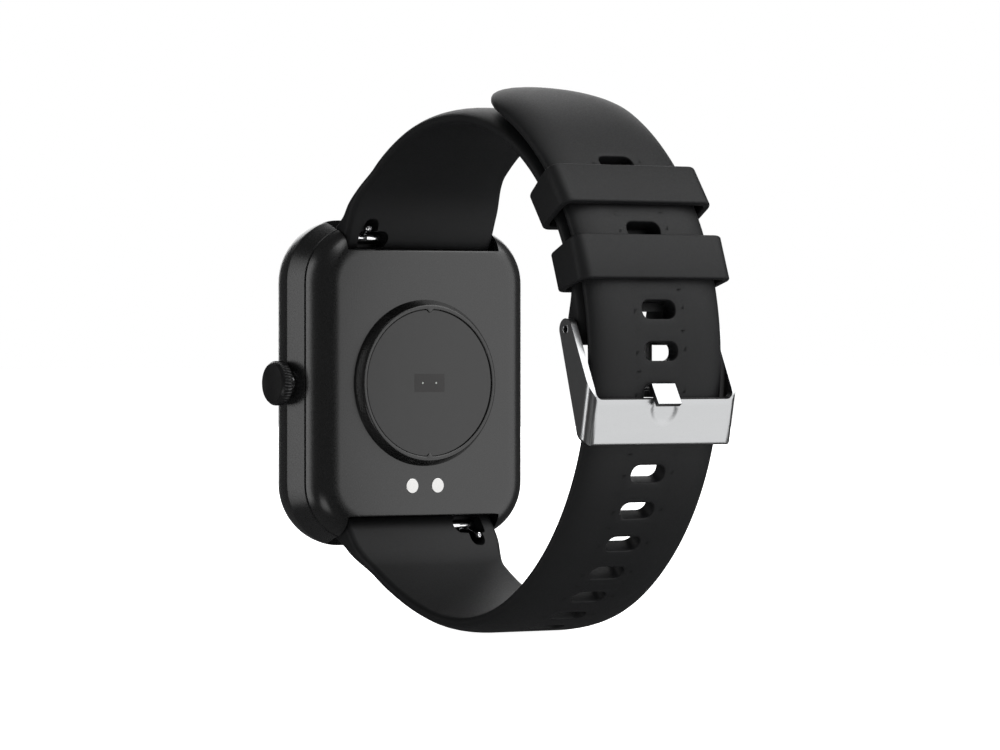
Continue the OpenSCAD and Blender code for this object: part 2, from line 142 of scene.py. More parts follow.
def bevel(piece, width, limit_deg):
    """Rounds every edge that is sharper than an angle."""
    modifier = piece.modifiers.new("bevel", "BEVEL")
    modifier.width = width * MM
    modifier.segments = 3
    modifier.limit_method = "ANGLE"
    modifier.angle_limit = math.radians(limit_deg)
    bake(piece)
    shade(piece.data, SMOOTH_DEG)
    even_normals(piece)


def even_normals(piece):
    """Weighs each point's shading by the area of its faces, so that flat faces look flat to their edges."""
    modifier = piece.modifiers.new("even", "WEIGHTED_NORMAL")
    modifier.keep_sharp = True
    bake(piece)


def loft(rings, closed=False, caps=True):
    """Points and faces of a skin over rings that have the same number of points."""
    count = len(rings[0])
    verts = [p for ring in rings for p in ring]
    faces = []
    for i in range(len(rings) - (0 if closed else 1)):
        a, b = i * count, (i + 1) % len(rings) * count
        for k in range(count):
            n = (k + 1) % count
            faces.append((a + k, a + n, b + n, b + k))
    if caps and not closed:
        faces.append(tuple(range(count - 1, -1, -1)))
        faces.append(tuple(range(len(verts) - count, len(verts))))
    return verts, faces


def extruded(name, outline, x0, x1, slot):
    """A YZ outline extruded along X."""
    rings = [[(x, y, z) for y, z in outline] for x in (x0, x1)]
    return new_piece(name, *loft(rings), slot)


def arc(cy, cz, r, a0, a1, steps):
    """Points on an arc round (cy, cz), from angle a0 to a1 in degrees."""
    angles = [math.radians(a0 + (a1 - a0) * i / steps) for i in range(steps + 1)]
    return [(cy + r * math.cos(a), cz + r * math.sin(a)) for a in angles]


def rectangle(a0, b0, a1, b1):
    """The four corners of an outline between (a0, b0) and (a1, b1)."""
    return [(a0, b0), (a1, b0), (a1, b1), (a0, b1)]


def quarter_turn(steps):
    """Equal steps of angle from 0 to 90 degrees, in radians."""
    return [math.radians(i * 90 / steps) for i in range(steps + 1)]


def turns(count):
    """Equal steps of angle round a full circle, in radians."""
    return [2 * math.pi * i / count for i in range(count)]


def circle(cy, cz, r, count):
    """Points round a full circle."""
    return [(cy + r * math.cos(a), cz + r * math.sin(a)) for a in turns(count)]


def revolved(name, profile, place, slot, steps, ripple=None, smooth_deg=SMOOTH_DEG):
    """A closed (radius, height) profile turned about an axis; place maps (a, b, height) to XYZ.

    ripple gives what is added to the radius of profile point k at an angle."""
    rings = []
    for angle in turns(steps):
        ring = []
        for k, (r, h) in enumerate(profile):
            if ripple:
                r += ripple(k, angle)
            ring.append(place(r * math.cos(angle), r * math.sin(angle), h))
        rings.append(ring)
    return new_piece(name, *loft(rings, closed=True), slot, smooth_deg)


def smooth_step(u):
    """Rises from 0 to 1 with a level start and end."""
    u = min(max(u, 0.0), 1.0)
    return u * u * (3 - 2 * u)


# ----------------------------------------------------------------- materials


MATERIALS = {}


def set_inputs(node, values):
    """Sets a shader node's inputs by name."""
    for name, value in values.items():
        node.inputs[name].default_value = value


def material(name, color, roughness, metallic=0.0, specular=0.5, grain=0.0004, bump=0.15,
             tint=0.12, rough_spread=0.05, streak=1.0, coat=0.0):
    """A procedural surface for one slot: fine grain in relief and roughness, and a soft drift of colour.

    grain is the size of the grain in metres, tint and rough_spread say how far colour and roughness
    wander, and streak draws the grain out along X."""
    drift_size, relief_share, coat_roughness = 0.006, 0.1, 0.08
    noise_low, noise_high = 0.3, 0.7
    mat = bpy.data.materials.new(name)
    mat.use_nodes = True
    nodes, links = mat.node_tree.nodes, mat.node_tree.links
    shader = nodes["Principled BSDF"]
    set_inputs(shader, {"Metallic": metallic, "Specular IOR Level": specular,
                        "Coat Weight": coat, "Coat Roughness": coat_roughness})
    where = nodes.new("ShaderNodeTexCoord")
    stretch = nodes.new("ShaderNodeMapping")
    set_inputs(stretch, {"Scale": (1.0, streak, streak)})
    links.new(where.outputs["Object"], stretch.inputs["Vector"])

    def noise(size, detail):
        node = nodes.new("ShaderNodeTexNoise")
        set_inputs(node, {"Scale": 1 / size, "Detail": detail})
        links.new(stretch.outputs["Vector"], node.inputs["Vector"])
        return node.outputs["Fac"]

    drift = noise(drift_size, 3)
    fine = noise(grain, 4)
    ramp = nodes.new("ShaderNodeMix")
    ramp.data_type = "RGBA"
    set_inputs(ramp, {"A": [c * (1 - tint) for c in color] + [1],
                      "B": [c * (1 + tint) for c in color] + [1]})
    links.new(drift, ramp.inputs["Factor"])
    links.new(ramp.outputs["Result"], shader.inputs["Base Color"])
    rough = nodes.new("ShaderNodeMapRange")
    set_inputs(rough, {"From Min": noise_low, "From Max": noise_high,
                       "To Min": roughness - rough_spread, "To Max": roughness + rough_spread})
    links.new(fine, rough.inputs["Value"])
    links.new(rough.outputs["Result"], shader.inputs["Roughness"])
    relief = nodes.new("ShaderNodeBump")
    set_inputs(relief, {"Strength": bump, "Distance": grain * relief_share})
    links.new(fine, relief.inputs["Height"])
    links.new(relief.outputs["Normal"], shader.inputs["Normal"])
    MATERIALS[name] = mat


material("frame_black", (0.006, 0.0061, 0.0063), 0.28, grain=0.00012, bump=0.03, rough_spread=0.02)
material("rear_black", (0.006, 0.0061, 0.0062), 0.29, specular=0.56, grain=0.00012, bump=0.035,
         rough_spread=0.03)
material("ring_black", (0.007, 0.007, 0.007), 0.27, grain=0.002, bump=0.002, rough_spread=0.01)
material("window_black", (0.009, 0.009, 0.009), 0.3, specular=0.45, grain=0.002, bump=0.002,
         rough_spread=0.01)
material("sensor_film", (0.012, 0.011, 0.011), 0.36, specular=0.34, grain=0.002, bump=0.002)
material("display_glass", (0.004, 0.004, 0.005), 0.05, coat=0.6, grain=0.002, bump=0.01, rough_spread=0.015)
material("display_black", (0.008, 0.008, 0.01), 0.15, bump=0.02)
material("silicone", (0.0062, 0.0064, 0.0068), 0.55, specular=0.2, grain=0.0002, bump=0.12)
material("seal_rubber", (0.012, 0.012, 0.012), 0.6)
material("bar_steel", (0.72, 0.72, 0.73), 0.16, 1.0, grain=0.0002, bump=0.04, tint=0.03)
material("buckle_steel", (0.37, 0.374, 0.378), 0.3, 1.0, grain=0.00025, bump=0.035, tint=0.02,
         rough_spread=0.03, streak=6.0)
material("spring_steel", (0.6, 0.6, 0.62), 0.25, 1.0, bump=0.05, tint=0.05)
material("contact_metal", (0.46, 0.456, 0.45), 0.14, 1.0, grain=0.0001, bump=0.03, tint=0.02)
material("magnet_metal", (0.55, 0.55, 0.56), 0.3, 1.0, bump=0.05)
material("can_metal", (0.68, 0.69, 0.7), 0.35, 1.0, bump=0.06, tint=0.04)
material("knob_metal", (0.005, 0.005, 0.0053), 0.32, specular=0.36, grain=0.0001, bump=0.08)
material("board_green", (0.02, 0.12, 0.06), 0.35, coat=0.3, grain=0.0008, bump=0.1, tint=0.3)
material("chip_black", (0.02, 0.02, 0.022), 0.5, grain=0.0002)
material("flex_amber", (0.45, 0.16, 0.02), 0.35, grain=0.0006, tint=0.2)
material("battery_foil", (0.5, 0.52, 0.54), 0.3, 1.0, grain=0.001, bump=0.2)
material("led_clear", (0.3, 0.32, 0.3), 0.2, grain=0.0004)

for part in frame["record"]["subparts"]:
    cad_node = frame["nodes"][part["node"]]
    for material_slot in cad_node.material_slots:
        material_slot.material = MATERIALS[part["material_slot"]]


def finish_piece(piece, body, node, slot):
    """Rides a finished piece on its body and hides the CAD node that it stands in for."""
    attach(piece, body)
    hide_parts(node)


# ---------------------------------------------------------------------- case

FRONT_LOW, FRONT_HIGH = box_mm("front_frame")
REAR_LOW, REAR_HIGH = box_mm("rear_housing")
HALF_W = FRONT_HIGH.x
HALF_H = 20.6
CORNER_R = 8.0
FRONT_Y = FRONT_LOW.y
SPLIT_Y = REAR_LOW.y
REAR_Y = REAR_HIGH.y
BELLY_Y = joint_centre("crown_turn")[0]
SPLIT_INSET = 1.0
SPLIT_SLOPE = 0.36
REAR_INSET = 4.6
NOSE_INSET = 2.0
SEAT_DEPTH = 1.15
GROOVE_HALF = 0.13
GROOVE_DEPTH = 0.4
GROOVE_LIP = 0.04
GROOVE_SOFT = 0.05
SLOT_HALF_W = 11.25
SLOT_Z = 16.8
SLOT_FLOOR_Y = REAR_Y - 6.4
CORNER_STEPS = 18


def case_ring(y, inset):
    """The rounded-rectangle outline at depth y, drawn in by inset."""
    w, h, r = HALF_W - inset, HALF_H - inset, CORNER_R - inset
    ring = []
    for quarter, (sx, sz) in enumerate([(1, 1), (-1, 1), (-1, -1), (1, -1)]):
        for i in range(CORNER_STEPS + 1):
            angle = math.pi / 2 * (quarter + i / CORNER_STEPS)
            ring.append((sx * (w - r) + r * math.cos(angle), y, sz * (h - r) + r * math.sin(angle)))
    return ring


def conic(p0, p1, p2, weight, steps):
    """Points on a rational quadratic curve from p0 to p2, pulled towards p1."""
    points = []
    for i in range(steps + 1):
        t = i / steps
        b0, b1, b2 = (1 - t) ** 2, 2 * weight * t * (1 - t), t * t
        total = b0 + b1 + b2
        points.append(tuple((b0 * p + b1 * q + b2 * r) / total for p, q, r in zip(p0, p1, p2)))
    return points


def front_profile():
    """(y, inset) from the parting line over the belly to the bezel and down to the glass seat."""
    groove_y, groove_inset = SPLIT_Y - GROOVE_HALF, SPLIT_INSET + GROOVE_DEPTH
    groove = [(SPLIT_Y, groove_inset), (groove_y, groove_inset), (groove_y, SPLIT_INSET + GROOVE_LIP)]
    start = (groove_y - GROOVE_SOFT, SPLIT_INSET - GROOVE_SOFT)
    side = conic(start, (SPLIT_Y - SPLIT_INSET / SPLIT_SLOPE, 0.0), (BELLY_Y, 0.0), 1.0, 10)
    depth = BELLY_Y - FRONT_Y
    nose = [(BELLY_Y - depth * math.sin(math.radians(a)), NOSE_INSET * (1 - math.cos(math.radians(a))))
            for a in range(5, 67, 5)]
    lip_y, lip_inset = nose[-1]
    seat_inset = lip_inset + 0.16
    lip = [(lip_y - 0.07, lip_inset + 0.06), (lip_y - 0.09, lip_inset + 0.12), (lip_y + 0.3, seat_inset)]
    return groove + side + nose + lip + [(FRONT_Y + SEAT_DEPTH, seat_inset)]


def rear_profile():
    """(y, inset) from the rear face round the edge to the parting line."""
    fullness, steps = 1.15, 24
    groove_y, groove_inset = SPLIT_Y + GROOVE_HALF, SPLIT_INSET + GROOVE_DEPTH
    shoulder = SPLIT_INSET + (REAR_Y - SPLIT_Y) * SPLIT_SLOPE
    end = (groove_y + GROOVE_SOFT, SPLIT_INSET)
    edge = conic((REAR_Y, REAR_INSET), (REAR_Y, shoulder), end, fullness, steps)
    return edge + [(groove_y, SPLIT_INSET + GROOVE_LIP), (groove_y, groove_inset), (SPLIT_Y, groove_inset)]


def slot_cutters():
    """A cutter for each strap slot, flared where it meets the rear face."""
    flare, past_rear, past_end = 0.3, 2.0, 30.0
    cutters = []
    for side in (1, -1):
        outline = [(SLOT_FLOOR_Y, past_end), (SLOT_FLOOR_Y, SLOT_Z)]
        outline += arc(REAR_Y - flare, SLOT_Z - flare, flare, 90, 0, 6)
        outline += [(REAR_Y + past_rear, SLOT_Z - flare), (REAR_Y + past_rear, past_end)]
        outline = [(y, side * z) for y, z in outline]
        cutters.append(extruded("cutter", outline, -SLOT_HALF_W, SLOT_HALF_W, "frame_black"))
    return cutters


def make_case():
    """Front frame and rear housing, each a skin over its profile with the strap slots cut out."""
    for name, profile, node, slot in (("front_case", front_profile(), "front_frame", "frame_black"),
                                      ("rear_case", rear_profile(), "rear_housing", "rear_black")):
        shell = new_piece(name, *loft([case_ring(y, inset) for y, inset in profile]), slot)
        carve(shell, slot_cutters())
        finish_piece(shell, "case", node, slot)


def make_glass():
    """Cover glass with a rounded front edge."""
    low, high = box_mm("display_glass")
    edge_r, edge_stretch, steps = 0.75, 1.5, 8
    edge_inset = HALF_W - high.x
    profile = [(high.y, edge_inset), (low.y + edge_r, edge_inset)]
    profile += [(low.y + edge_r * (1 - math.sin(a)), edge_inset + edge_stretch * edge_r * (1 - math.cos(a)))
                for a in quarter_turn(steps)[1:]]
    glass = new_piece("cover_glass", *loft([case_ring(y, inset) for y, inset in profile]), "display_glass")
    finish_piece(glass, "case", "display_glass", "display_glass")


# -------------------------------------------------------------------- sensor


def along_y(x, z):
    """Placement for a revolved piece whose axis runs along Y through (x, z)."""
    return lambda a, b, h: (x + a, h, z + b)


def make_sensor():
    """The bump's rim and the window set a little below it."""
    top = box_mm("sensor_ring")[1]
    window_r = box_mm("sensor_window")[1].x
    base_r, top_y = top.x, top.y
    rim_r = base_r - 0.65
    base_y = REAR_Y - 0.3
    window_y = top_y - 0.13
    ledge_r, ledge_y = window_r - 0.6, window_y - 0.2
    profile = [(ledge_r, base_y), (base_r, base_y), (base_r, REAR_Y + 0.02)]
    profile += conic((base_r - 0.03, REAR_Y + 0.1), (rim_r + 0.02, top_y), (rim_r - 0.14, top_y), 2.2, 8)
    first_inner = len(profile)
    profile += [(window_r + 0.1, top_y), (window_r + 0.03, top_y - 0.03), (window_r, top_y - 0.08),
                (window_r, ledge_y), (ledge_r, ledge_y)]
    notch_half, notch_reach = 0.5, 0.42

    def notches(k, angle):
        """Two small tabs that stand in from the rim at the top and the bottom."""
        if k < first_inner or k == len(profile) - 1:
            return 0.0
        across = abs(math.cos(angle)) * window_r
        return -notch_reach * math.cos(math.pi / 2 * min(across / notch_half, 1.0))

    ring = revolved("sensor_rim", profile, along_y(0, 0), "ring_black", 384, notches, 40)
    finish_piece(ring, "case", "sensor_ring", "ring_black")
    edge = 0.05
    disc_r = window_r - edge
    disc = [(0.0, base_y), (disc_r, base_y), (disc_r, window_y - edge), (disc_r - edge, window_y),
            (0.0, window_y)]
    window = revolved("sensor_cover", disc, along_y(0, 0), "window_black", 160)
    finish_piece(window, "case", "sensor_window", "window_black")
    make_sensor_eye(window_y)


def make_sensor_eye(window_y):
    """The sensor seen faintly through the window: a thin patch with two small spots."""
    low, high = box_mm("sensor_module")
    led_low, led_high = box_mm("sensor_leds")
    lift, sink, led_half, spot_r = 0.006, 0.02, 0.35, 0.12
    corners = rectangle(low.x, low.z, high.x, high.z)
    rings = [[(x, y, z) for x, z in corners] for y in (window_y - sink, window_y + lift)]
    patch = new_piece("sensor_patch", *loft(rings), "sensor_film")
    finish_piece(patch, "case", "sensor_window", "window_black")
    spot_y = window_y + 2 * lift
    profile = [(0.0, window_y), (spot_r, window_y), (spot_r, spot_y), (0.0, spot_y)]
    for name, x in (("sensor_spot_left", led_low.x + led_half), ("sensor_spot_right", led_high.x - led_half)):
        spot = revolved(name, profile, along_y(x, 0), "led_clear", 24)
        finish_piece(spot, "case", "sensor_window", "led_clear")


def make_contacts():
    """Two round charging contacts with softened edges."""
    low, high = box_mm("charging_contacts")
    radius = (high.z - low.z) / 2
    z = (high.z + low.z) / 2
    edge = 0.08
    profile = [(0.0, low.y), (radius, low.y), (radius, high.y - edge)]
    profile += arc(radius - edge, high.y - edge, edge, 30, 90, 2)
    profile += [(0.0, high.y)]
    for name, x in (("contact_left", low.x + radius), ("contact_right", high.x - radius)):
        contact = revolved(name, profile, along_y(x, z), "contact_metal", 64)
        finish_piece(contact, "case", "charging_contacts", "contact_metal")


def make_crown():
    """Crown knob with a knurled rim, a bevel, a flat face and a recess towards the case."""
    low, high = box_mm("crown_knob")
    radius = (high.z - low.z) / 2
    axis_y = (high.y + low.y) / 2
    ridges, ridge_depth, steps_per_ridge = 40, 0.12, 10
    recess_r, recess, face_dip = 1.9, 0.8, 0.03
    base_x, face_x = low.x, high.x
    profile = [(recess_r, base_x), (radius - 0.35, base_x), (radius - 0.12, base_x + 0.1)]
    rim = [(radius, base_x + 0.25), (radius, face_x - 0.42), (radius - 0.03, face_x - 0.37)]
    knurled = range(len(profile), len(profile + rim))
    profile += rim
    profile += [(radius - 0.08, face_x - 0.3), (radius - 0.24, face_x - 0.09), (radius - 0.34, face_x),
                (radius - 0.4, face_x), (radius - 0.46, face_x - face_dip), (0.0, face_x - face_dip),
                (0.0, base_x + recess), (recess_r, base_x + recess)]

    def knurl(k, angle):
        """Grooves between the ridges, on the rim only."""
        return -ridge_depth * (0.5 - 0.5 * math.cos(ridges * angle)) ** 2 if k in knurled else 0.0

    knob = revolved("crown_cap", profile, lambda a, b, h: (h, axis_y + a, b), "knob_metal",
                    ridges * steps_per_ridge, knurl, 40)
    finish_piece(knob, "crown", "crown_knob", "knob_metal")


# --------------------------------------------------------------------- strap

WRAP_Y, WRAP_Z = joint_centre("keeper_slide")
PIN_Y, PIN_Z = joint_centre("buckle_pivot")
STRAP_T = 2.0
WRAP_R = 33.3
UNDER_R = WRAP_R - STRAP_T - 0.1
BAR_LOW, BAR_HIGH = box_mm("upper_bar_tube")
BAR_Y = (BAR_LOW.y + BAR_HIGH.y) / 2
BAR_Z = (BAR_LOW.z + BAR_HIGH.z) / 2
STRAP_END_HALF = 11.0
STRAP_HALF = 9.4
TAIL_TIP_Y = REAR_Y + 23
HOLE_PITCH = 4.82
HOLE_COUNT = 15
FIRST_HOLE = 34.35
HOLE_W = 4.7
HOLE_H = 2.2
CELL_HALF = 3.6
ROWS_PER_PITCH = 8
CELL_COLUMNS = 10
OUTER_EDGE = (4.6, 1.3)
INNER_EDGE = (0.8, 0.55)
HEAD_R = 2.1
HEAD_CLEAR = 0.15


class Route:
    """The strap's middle line in the YZ plane, as arcs (radius, turn in degrees) joined smoothly."""

    def __init__(self, y, z, heading, arcs):
        self.start = (y, z, heading)
        self.arcs = arcs
        self.length = sum(r * abs(math.radians(t)) for r, t in arcs)
        self.inner = 1 if arcs[0][1] > 0 else -1

    def frame(self, s):
        """Point and heading (radians) at length s; straight on before the start and past the end."""
        y, z, heading = self.start
        h = math.radians(heading)
        if s <= 0:
            return y + s * math.cos(h), z + s * math.sin(h), h
        for radius, turn in self.arcs:
            length = radius * abs(math.radians(turn))
            step = min(s, length)
            signed = radius if turn > 0 else -radius
            turned = h + step / signed
            y += signed * (math.sin(turned) - math.sin(h))
            z -= signed * (math.cos(turned) - math.cos(h))
            h = turned
            s -= step
            if s <= 0:
                return y, z, h
        return y + s * math.cos(h), z + s * math.sin(h), h

    def point(self, s, x, depth):
        """XYZ at length s, x across and depth towards the wrist from the middle line."""
        y, z, h = self.frame(s)
        d = depth * self.inner
        return (x, y - d * math.sin(h), z + d * math.cos(h))

    def locate(self, y, z):
        """(length, depth) of a point near the start, along the first heading."""
        y0, z0, heading = self.start
        h = math.radians(heading)
        dy, dz = y - y0, z - z0
        return dy * math.cos(h) + dz * math.sin(h), self.inner * (dz * math.cos(h) - dy * math.sin(h))


def strap_half_width(y):
    """Half the strap's width, easing in from the slot to the buckle."""
    ease = 0.6
    stops = [(REAR_Y - 1.0, STRAP_END_HALF), (REAR_Y + 3.2, 9.8),
             (REAR_Y + 9.0, 9.6), (REAR_Y + 22.0, STRAP_HALF)]
    if y <= stops[0][0]:
        return STRAP_END_HALF
    for (y0, w0), (y1, w1) in zip(stops, stops[1:]):
        if y <= y1:
            u = (y - y0) / (y1 - y0)
            return w0 + (w1 - w0) * (smooth_step(u) * ease + u * (1 - ease))
    return STRAP_HALF


def edge_profile(d_out, d_in):
    """(distance from the edge, depth) round one edge, from the outer face to the inner face."""
    outer_share, inner_share, outer_steps, inner_steps = 0.62, 0.28, 8, 5
    span = d_in - d_out
    wide_o, high_o = OUTER_EDGE[0], min(OUTER_EDGE[1], span * outer_share)
    wide_i, high_i = INNER_EDGE[0], min(INNER_EDGE[1], span * inner_share)
    points = [(wide_o * (1 - math.sin(a)), d_out + high_o * (1 - math.cos(a)))
              for a in quarter_turn(outer_steps)]
    points += [(wide_i * (1 - math.cos(a)), d_in - high_i * (1 - math.sin(a)))
               for a in quarter_turn(inner_steps)]
    return points


def face_columns(reach):
    """x positions across a face whose flat part reaches that far each way."""
    cell_share = 0.6
    cell = min(CELL_HALF, reach * cell_share)
    between = (reach + cell) / 2
    inner = [-cell + 2 * cell * i / CELL_COLUMNS for i in range(CELL_COLUMNS + 1)]
    return [-reach, -between] + inner + [between, reach]


def strap_ring(route, s, half_w, d_out, d_in, tip=None):
    """One closed row of the strap's skin. tip gives (length, angle) on a half-round end."""
    edge = edge_profile(d_out, d_in)

    def place(delta):
        if tip is None:
            return s, half_w - delta
        long, angle = tip
        out_s, out_x = math.sin(angle) / long, math.cos(angle) / half_w
        size = math.hypot(out_s, out_x)
        return (s + long * math.sin(angle) - delta * out_s / size,
                half_w * math.cos(angle) - delta * out_x / size)

    spots = [(*place(delta), depth) for delta, depth in edge]
    s_out, reach_out, _ = spots[0]
    s_in, reach_in, _ = spots[-1]
    reach_out, reach_in = max(reach_out, 0.0), max(reach_in, 0.0)
    ring = [route.point(s_out, x, d_out) for x in face_columns(reach_out)]
    ring += [route.point(ps, max(px, 0.0), d) for ps, px, d in spots[1:-1]]
    ring += [route.point(s_in, x, d_in) for x in reversed(face_columns(reach_in))]
    ring += [route.point(ps, -max(px, 0.0), d) for ps, px, d in reversed(spots[1:-1])]
    return ring


def four_quarters(quarter, half_h):
    """A whole outline from its first quarter, which runs from +x up to (0, half_h)."""
    top = quarter + [(0.0, half_h)] + [(-x, h) for x, h in reversed(quarter[1:])]
    return top + [(-x, -h) for x, h in top]


def slot_outline(half_w, half_h, r, steps):
    """Points round a slot, the same number in each quarter."""
    straight_x, straight_h = half_w - r, half_h - r
    arc_len = math.pi / 2 * r
    total = straight_h + arc_len + straight_x
    quarter = []
    for i in range(steps):
        run = total * i / steps
        if run < straight_h:
            quarter.append((half_w, run))
        elif run < straight_h + arc_len:
            a = (run - straight_h) / r
            quarter.append((straight_x + r * math.cos(a), straight_h + r * math.sin(a)))
        else:
            quarter.append((straight_x - (run - straight_h - arc_len), half_h))
    return four_quarters(quarter, half_h)


def cell_outline(half_w, half_s):
    """Points round a rectangular cell that match the rows and columns of the skin."""
    n_s, n_x = ROWS_PER_PITCH // 2, CELL_COLUMNS // 2
    quarter = [(half_w, half_s * i / n_s) for i in range(n_s)]
    quarter += [(half_w - half_w * i / n_x, half_s) for i in range(n_x)]
    return four_quarters(quarter, half_s)


def hole_cell(route, s_mid, d_out, d_in):
    """The skin of one strap hole with the patch of strap round it."""
    lip, end_flat = 0.16, 0.12
    steps = ROWS_PER_PITCH // 2 + CELL_COLUMNS // 2
    cell = cell_outline(CELL_HALF, HOLE_PITCH / 2)

    def hole(grow):
        return slot_outline(HOLE_W / 2 + grow, HOLE_H / 2 + grow, HOLE_H / 2 - end_flat + grow, steps)

    between = [((x + u) / 2, (s + v) / 2) for (x, s), (u, v) in zip(cell, hole(lip * 1.5))]
    outer = [(cell, d_out), (between, d_out), (hole(lip), d_out)]
    outer += [(hole(lip * (1 - math.sin(a))), d_out + lip * (1 - math.cos(a))) for a in quarter_turn(3)[1:]]
    inner = [(outline, d_out + d_in - depth) for outline, depth in reversed(outer)]
    levels = outer + [(hole(0.0), (d_out + d_in) / 2)] + inner
    rings = [[route.point(s_mid + s, x, depth) for x, s in outline] for outline, depth in levels]
    return loft(rings, caps=False)


def skin(rings, holes=None):
    """A skin over rows, without the cell columns in rows that a hole cell fills."""
    count = len(rings[0])
    columns = len(face_columns(CELL_HALF))
    first = (columns - 1 - CELL_COLUMNS) // 2
    cells = range(first, first + CELL_COLUMNS)
    inner_start = (count - 2 * columns) // 2 + columns

    def is_open(place):
        row, k = divmod(place, count)
        return row < len(rings) - 1 and holes[row] and (k in cells or k - inner_start in cells)

    verts, faces = loft(rings)
    if holes:
        faces = [face for place, face in enumerate(faces) if not is_open(place)]
    return verts, faces


def head_depths(route, side):
    """Functions for a strap end's outer and inner depths, swelling round its spring bar."""
    bar_s, bar_d = route.locate(BAR_Y, side * BAR_Z)
    reach_in, reach_out = 8.5, 3.5

    def half(s):
        return math.sqrt(max(HEAD_R ** 2 - (s - bar_s) ** 2, 0.0))

    def inner(s):
        if s <= bar_s:
            return bar_d + half(s)
        swell = bar_d + HEAD_R - STRAP_T / 2
        return STRAP_T / 2 + swell * (1 - smooth_step((s - bar_s) / reach_in))

    def outer(s):
        if s <= bar_s:
            return bar_d - half(s)
        swell = STRAP_T / 2 + bar_d - HEAD_R
        return -STRAP_T / 2 + swell * (1 - smooth_step((s - bar_s) / reach_out))

    return bar_s, outer, inner


def head_rows(route, side):
    """Rows of the strap's round end, after the bar's place and the two depth functions."""
    bar_s, outer, inner = head_depths(route, side)
    rows, early = 8, 4
    rings = []
    for i in range(1, rows + 1):
        s = bar_s - HEAD_R * math.cos(math.radians(i * 90 / rows - early))
        rings.append(strap_ring(route, s, STRAP_END_HALF, outer(s), inner(s)))
    return bar_s, outer, inner, rings


def bar_cutters(side):
    """The flat that faces the slot's wall, the bore for the spring bar and the pocket for its lever."""
    reach, block, bore_r = 12.0, 4.0, 0.79
    flat_z = SLOT_Z + HEAD_CLEAR
    wall = rectangle(BAR_Y - block, side * (flat_z - block), BAR_Y + block, side * flat_z)
    flat = extruded("flat", wall, -reach, reach, "silicone")
    bore = extruded("bore", circle(BAR_Y, side * BAR_Z, bore_r, 32), -reach, reach, "silicone")
    low_z, mid_z, high_z = BAR_Z - 1.25, BAR_Z + 0.45, BAR_Z + 2.35
    end_x, ball_x0, ball_x1, far_x = 4.75, 6.6, 8.65, 9.15
    corner, ball_corner, floor_y = 0.35, 0.85, BAR_Y - 0.2
    end_r = (mid_z + corner - low_z) / 2
    outline = arc(far_x - corner, low_z + corner, corner, -90, 0, 4)
    outline += arc(far_x - corner, mid_z, corner, 0, 90, 4)
    outline += [(ball_x1, mid_z + corner)]
    outline += arc(ball_x1 - ball_corner, high_z - ball_corner, ball_corner, 0, 90, 4)
    outline += arc(ball_x0 + ball_corner, high_z - ball_corner, ball_corner, 90, 180, 4)
    outline += [(ball_x0, mid_z + corner)]
    outline += arc(end_x + end_r, low_z + end_r, end_r, 90, 270, 8)
    rings = [[(side * x, y, side * z) for x, z in outline] for y in (floor_y, BAR_Y + reach)]
    pocket = new_piece("pocket", *loft(rings), "silicone")
    return [flat, bore, pocket]


def lower_route():
    """From the lower spring bar under the wrist, up the far side and over the top."""
    return Route(REAR_Y - 4.0, -18.45, -43.0, [(42.0, 30.5), (26.25, 42.5), (WRAP_R, 143.0)])


def upper_route():
    """From the upper spring bar over the top to the buckle bar, worked out from the buckle's end."""
    pin_angle = math.degrees(math.atan2(PIN_Z - WRAP_Z, PIN_Y - WRAP_Y))
    y = WRAP_Y + UNDER_R * math.cos(math.radians(pin_angle))
    z = WRAP_Z + UNDER_R * math.sin(math.radians(pin_angle))
    arcs = [(UNDER_R, 29.0), (27.8, 72.0), (26.2, 46.4)]
    forward = Route(y, z, pin_angle + 90, arcs)
    end_y, end_z, end_h = forward.frame(forward.length)
    return Route(end_y, end_z, math.degrees(end_h) + 180, [(r, -turn) for r, turn in reversed(arcs)])


def tail_length(route):
    """Length along the route at which it comes back over the top to the tail's tip."""
    step = 0.01
    s = route.length
    while route.frame(s)[0] < TAIL_TIP_Y:
        s -= step
    return s


def make_hole_strap():
    """The lower strap half, with its holes and half-round tail."""
    route = lower_route()
    bar_s, outer, inner, rings = head_rows(route, -1)
    holes = [False] * len(rings)
    tip_long, tip_rows, approach_rows, rest_rows = 10.2, 24, 56, 14
    hole_rows = HOLE_COUNT * ROWS_PER_PITCH
    hole_start = FIRST_HOLE - HOLE_PITCH / 2
    hole_end = hole_start + HOLE_COUNT * HOLE_PITCH
    tip_start = tail_length(route) - tip_long
    lengths = [bar_s + (hole_start - bar_s) * i / approach_rows for i in range(approach_rows)]
    lengths += [hole_start + HOLE_PITCH / ROWS_PER_PITCH * i for i in range(hole_rows)]
    lengths += [hole_end + (tip_start - hole_end) * i / rest_rows for i in range(rest_rows + 1)]
    for k, s in enumerate(lengths):
        rings.append(strap_ring(route, s, strap_half_width(route.frame(s)[0]), outer(s), inner(s)))
        holes.append(approach_rows <= k < approach_rows + hole_rows)
    d_in = STRAP_T / 2
    for angle in quarter_turn(tip_rows)[1:]:
        rings.append(strap_ring(route, tip_start, STRAP_HALF, -d_in, d_in, (tip_long, angle)))
        holes.append(False)
    verts, faces = skin(rings, holes)
    for i in range(HOLE_COUNT):
        more, cells = hole_cell(route, FIRST_HOLE + i * HOLE_PITCH, -d_in, d_in)
        faces += [tuple(k + len(verts) for k in face) for face in cells]
        verts += more
    strap = new_piece("lower_strap", verts, faces, "silicone")
    carve(strap, bar_cutters(-1), smooth_deg=42)
    even_normals(strap)
    finish_piece(strap, "case", "hole_strap", "silicone")


